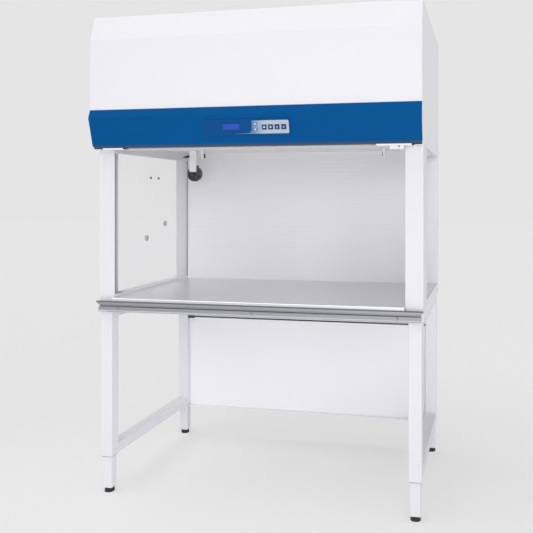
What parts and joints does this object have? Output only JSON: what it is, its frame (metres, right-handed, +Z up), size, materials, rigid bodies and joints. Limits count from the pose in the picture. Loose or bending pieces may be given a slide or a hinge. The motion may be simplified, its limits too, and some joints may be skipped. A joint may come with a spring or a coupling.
{
  "type": "laminar flow hood",
  "caption": "Laminar flow hood: vertical-flow clean bench with a sloped head, control fascia, glass side walls and steel tray on a telescoping four-legged stand.",
  "frame": {"origin": "on the floor under the middle of the overall outline", "axes": "+X to the user's right along the front, +Y to the back, +Z up"},
  "size_m": [1.34, 0.832, 1.951],
  "materials": {
    "white_coat": "satin",
    "blue_coat": "satin",
    "grey_coat": "satin",
    "stainless": "brushed",
    "plated": "polished",
    "galvanised": "satin",
    "pane": "clear",
    "black_plastic": "matte",
    "grey_plastic": "matte",
    "white_plastic": "gloss",
    "key_plastic": "gloss",
    "screen": "gloss",
    "seal_rubber": "matte",
    "filter_media": "matte",
    "lamp_glass": "frosted"
  },
  "bodies": {
    "cabinet": {"left_side_frame": "grey_coat", "right_side_frame": "grey_coat", "leg_guides": "black_plastic", "leg_clamp_screws": "plated", "rear_crossbar": "grey_coat", "modesty_panel": "grey_coat", "panel_edge_seal": "seal_rubber", "base_pan": "white_coat", "front_rail": "stainless", "rail_screws": "plated", "worktop_tray": "stainless", "left_front_post": "white_coat", "right_front_post": "white_coat", "left_window": "pane", "right_window": "pane", "window_rails": "grey_coat", "window_seals": "seal_rubber", "window_plugs": "grey_plastic", "back_wall": "white_coat", "back_lower_panel": "stainless", "rear_cover": "white_coat", "power_inlet": "black_plastic", "left_head_panel": "white_coat", "right_head_panel": "white_coat", "front_panel": "white_coat", "top_panel": "white_coat", "prefilter": "filter_media", "filter_deck": "galvanised", "blower_housing": "galvanised", "blower_motor": "black_plastic", "hepa_filter": "filter_media", "diffuser": "white_coat", "front_beam": "white_coat", "lamp_tube": "lamp_glass", "lamp_holders": "white_plastic", "electrics_box": "galvanised", "fascia": "blue_coat", "control_panel": "blue_coat", "keypad_plate": "key_plastic", "display_window": "screen", "control_board": "grey_plastic", "fascia_tabs": "plated", "sensor_arm": "white_plastic", "sensor_ring": "black_plastic"},
    "leg_fl": {"leg_front_left": "grey_coat"},
    "leg_fr": {"leg_front_right": "grey_coat"},
    "leg_rl": {"leg_rear_left": "grey_coat"},
    "leg_rr": {"leg_rear_right": "grey_coat"},
    "foot_fl": {"foot_front_left": "black_plastic"},
    "foot_fr": {"foot_front_right": "black_plastic"},
    "foot_rl": {"foot_rear_left": "black_plastic"},
    "foot_rr": {"foot_rear_right": "black_plastic"},
    "blower_key": {"key_blower": "key_plastic"},
    "light_key": {"key_light": "key_plastic"},
    "uv_key": {"key_uv": "key_plastic"},
    "menu_key": {"key_menu": "key_plastic"},
    "up_key": {"key_up": "key_plastic"},
    "down_key": {"key_down": "key_plastic"},
    "fan_wheel": {"impeller": "galvanised"},
    "vane": {"sensor_vane": "black_plastic"}
  },
  "joints": [
    {"name": "leg_slide_fl", "type": "slide", "parent": "cabinet", "child": "leg_fl", "axis": [0, 0, 1], "range_m": [-0.1, 0.1]},
    {"name": "leg_slide_fr", "type": "slide", "parent": "cabinet", "child": "leg_fr", "axis": [0, 0, 1], "range_m": [-0.1, 0.1]},
    {"name": "leg_slide_rl", "type": "slide", "parent": "cabinet", "child": "leg_rl", "axis": [0, 0, 1], "range_m": [-0.1, 0.1]},
    {"name": "leg_slide_rr", "type": "slide", "parent": "cabinet", "child": "leg_rr", "axis": [0, 0, 1], "range_m": [-0.1, 0.1]},
    {"name": "foot_screw_fl", "type": "slide", "parent": "leg_fl", "child": "foot_fl", "axis": [0, 0, 1], "range_m": [-0.02, 0]},
    {"name": "foot_screw_fr", "type": "slide", "parent": "leg_fr", "child": "foot_fr", "axis": [0, 0, 1], "range_m": [-0.02, 0]},
    {"name": "foot_screw_rl", "type": "slide", "parent": "leg_rl", "child": "foot_rl", "axis": [0, 0, 1], "range_m": [-0.02, 0]},
    {"name": "foot_screw_rr", "type": "slide", "parent": "leg_rr", "child": "foot_rr", "axis": [0, 0, 1], "range_m": [-0.02, 0]},
    {"name": "blower_key_press", "type": "slide", "parent": "cabinet", "child": "blower_key", "axis": [0, 0.9636, 0.2672], "range_m": [0, 0.0008], "stiffness_N_per_m": 800, "springref_m": -0.001},
    {"name": "light_key_press", "type": "slide", "parent": "cabinet", "child": "light_key", "axis": [0, 0.9636, 0.2672], "range_m": [0, 0.0008], "stiffness_N_per_m": 800, "springref_m": -0.001},
    {"name": "uv_key_press", "type": "slide", "parent": "cabinet", "child": "uv_key", "axis": [0, 0.9636, 0.2672], "range_m": [0, 0.0008], "stiffness_N_per_m": 800, "springref_m": -0.001},
    {"name": "menu_key_press", "type": "slide", "parent": "cabinet", "child": "menu_key", "axis": [0, 0.9636, 0.2672], "range_m": [0, 0.0008], "stiffness_N_per_m": 800, "springref_m": -0.001},
    {"name": "up_key_press", "type": "slide", "parent": "cabinet", "child": "up_key", "axis": [0, 0.9636, 0.2672], "range_m": [0, 0.0008], "stiffness_N_per_m": 800, "springref_m": -0.001},
    {"name": "down_key_press", "type": "slide", "parent": "cabinet", "child": "down_key", "axis": [0, 0.9636, 0.2672], "range_m": [0, 0.0008], "stiffness_N_per_m": 800, "springref_m": -0.001},
    {"name": "fan_spin", "type": "hinge", "parent": "cabinet", "child": "fan_wheel", "pos_m": [0, 0.06, 1.772], "axis": [1, 0, 0], "continuous": true},
    {"name": "vane_spin", "type": "hinge", "parent": "cabinet", "child": "vane", "pos_m": [-0.491, 0.199, 1.332], "axis": [0, 1, 0], "continuous": true}
  ]
}
